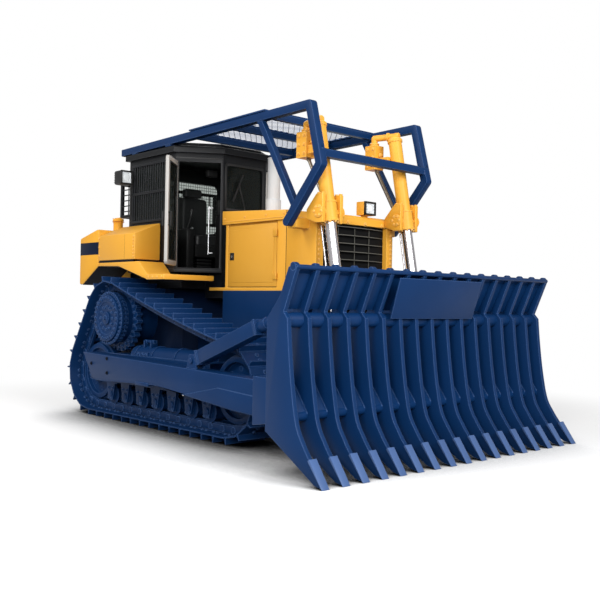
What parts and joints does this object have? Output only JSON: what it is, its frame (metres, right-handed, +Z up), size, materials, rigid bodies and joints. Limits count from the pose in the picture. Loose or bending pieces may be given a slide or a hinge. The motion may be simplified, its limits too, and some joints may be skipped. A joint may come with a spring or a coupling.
{
  "type": "crawler bulldozer with a root rake",
  "caption": "Elevated-sprocket crawler bulldozer with a tined root rake, brush sweeps, roof screen and enclosed cab, right door open.",
  "frame": {"origin": "on the ground under the middle of the length and width", "axes": "+X the way it drives, +Y its left side, +Z up"},
  "size_m": [6.072, 4.042, 3.7046],
  "materials": {
    "yellow_paint": "satin",
    "navy_paint": "satin",
    "black_paint": "satin",
    "grey_paint": "satin",
    "chrome": "polished",
    "cast_iron": "rough",
    "stack_steel": "satin",
    "black_plastic": "matte",
    "seat_fabric": "matte",
    "clear_glass": "polished"
  },
  "bodies": {
    "machine": {"main_frame": "navy_paint", "rear_case": "navy_paint", "drawbar": "navy_paint", "track_left": "navy_paint", "track_right": "navy_paint", "track_frame_left": "navy_paint", "track_frame_right": "navy_paint", "final_drive_left": "navy_paint", "final_drive_right": "navy_paint", "sprocket_left": "navy_paint", "sprocket_right": "navy_paint", "idlers_left": "navy_paint", "idlers_right": "navy_paint", "rollers_left": "navy_paint", "rollers_right": "navy_paint", "sweeps_frame": "navy_paint", "roof_screen": "navy_paint", "engine_block": "cast_iron", "radiator_core": "cast_iron", "fuel_tank": "yellow_paint", "fender_left": "yellow_paint", "fender_right": "yellow_paint", "platform_left": "yellow_paint", "platform_right": "yellow_paint", "hood_top": "yellow_paint", "engine_frame": "yellow_paint", "radiator_guard": "yellow_paint", "cylinder_yoke_left": "yellow_paint", "cylinder_yoke_right": "yellow_paint", "head_lamp": "yellow_paint", "cab_base": "black_paint", "cab_floor": "black_paint", "cab_body": "black_paint", "cab_roof": "black_paint", "cab_cowl": "black_paint", "grille": "black_paint", "rear_lamps": "black_paint", "cab_glass": "clear_glass", "seat": "seat_fabric", "consoles": "black_plastic", "exhaust_stack": "stack_steel"},
    "blade": {"rake_tines": "navy_paint", "rake_beams": "navy_paint", "rake_teeth": "navy_paint", "rake_plate": "navy_paint", "push_arm_left": "navy_paint", "push_arm_right": "navy_paint", "strut_left": "navy_paint", "strut_right": "navy_paint"},
    "lift_barrel_left": {"cylinder_barrel_left": "yellow_paint"},
    "lift_barrel_right": {"cylinder_barrel_right": "yellow_paint"},
    "lift_rod_left": {"cylinder_rod_left": "chrome"},
    "lift_rod_right": {"cylinder_rod_right": "chrome"},
    "cab_door_left_body": {"cab_door_left": "grey_paint", "door_glass_left": "clear_glass"},
    "cab_door_right_body": {"cab_door_right": "grey_paint", "door_glass_right": "clear_glass"},
    "engine_door_left_body": {"engine_door_left": "yellow_paint"},
    "engine_door_right_body": {"engine_door_right": "yellow_paint"}
  },
  "joints": [
    {"name": "blade_lift", "type": "hinge", "parent": "machine", "child": "blade", "pos_m": [-1.57, 0, 0.72], "axis": [0, -1, 0], "range_deg": [-4, 12]},
    {"name": "lift_cylinder_swing_left", "type": "hinge", "parent": "machine", "child": "lift_barrel_left", "pos_m": [1.61, 0.62, 2.53], "axis": [0, -1, 0], "range_deg": [-0.6, 1.4]},
    {"name": "lift_rod_slide_left", "type": "slide", "parent": "lift_barrel_left", "child": "lift_rod_left", "axis": [0.1886, 0, -0.9821], "range_m": [-0.735, 0.246]},
    {"name": "lift_cylinder_swing_right", "type": "hinge", "parent": "machine", "child": "lift_barrel_right", "pos_m": [1.61, -0.62, 2.53], "axis": [0, -1, 0], "range_deg": [-0.6, 1.4]},
    {"name": "lift_rod_slide_right", "type": "slide", "parent": "lift_barrel_right", "child": "lift_rod_right", "axis": [0.1886, 0, -0.9821], "range_m": [-0.735, 0.246]},
    {"name": "cab_door_left_swing", "type": "hinge", "parent": "machine", "child": "cab_door_left_body", "pos_m": [-0.9581, 0.8679, 2], "axis": [0, 0, 1], "range_deg": [0, 138]},
    {"name": "cab_door_right_swing", "type": "hinge", "parent": "machine", "child": "cab_door_right_body", "pos_m": [-0.9581, -0.8679, 2], "axis": [0, 0, 1], "range_deg": [-35, 103]},
    {"name": "engine_door_left_swing", "type": "hinge", "parent": "machine", "child": "engine_door_left_body", "pos_m": [0.63, 0.5143, 2.1], "axis": [0, 0, -1], "range_deg": [0, 95]},
    {"name": "engine_door_right_swing", "type": "hinge", "parent": "machine", "child": "engine_door_right_body", "pos_m": [0.63, -0.5143, 2.1], "axis": [0, 0, 1], "range_deg": [0, 95]}
  ],
  "couplings": [
    {"joint": "lift_cylinder_swing_left", "follows": "blade_lift", "ratio": 0.1},
    {"joint": "lift_rod_slide_left", "follows": "blade_lift", "m_per_rad": -3.47},
    {"joint": "lift_cylinder_swing_right", "follows": "blade_lift", "ratio": 0.1},
    {"joint": "lift_rod_slide_right", "follows": "blade_lift", "m_per_rad": -3.47}
  ]
}
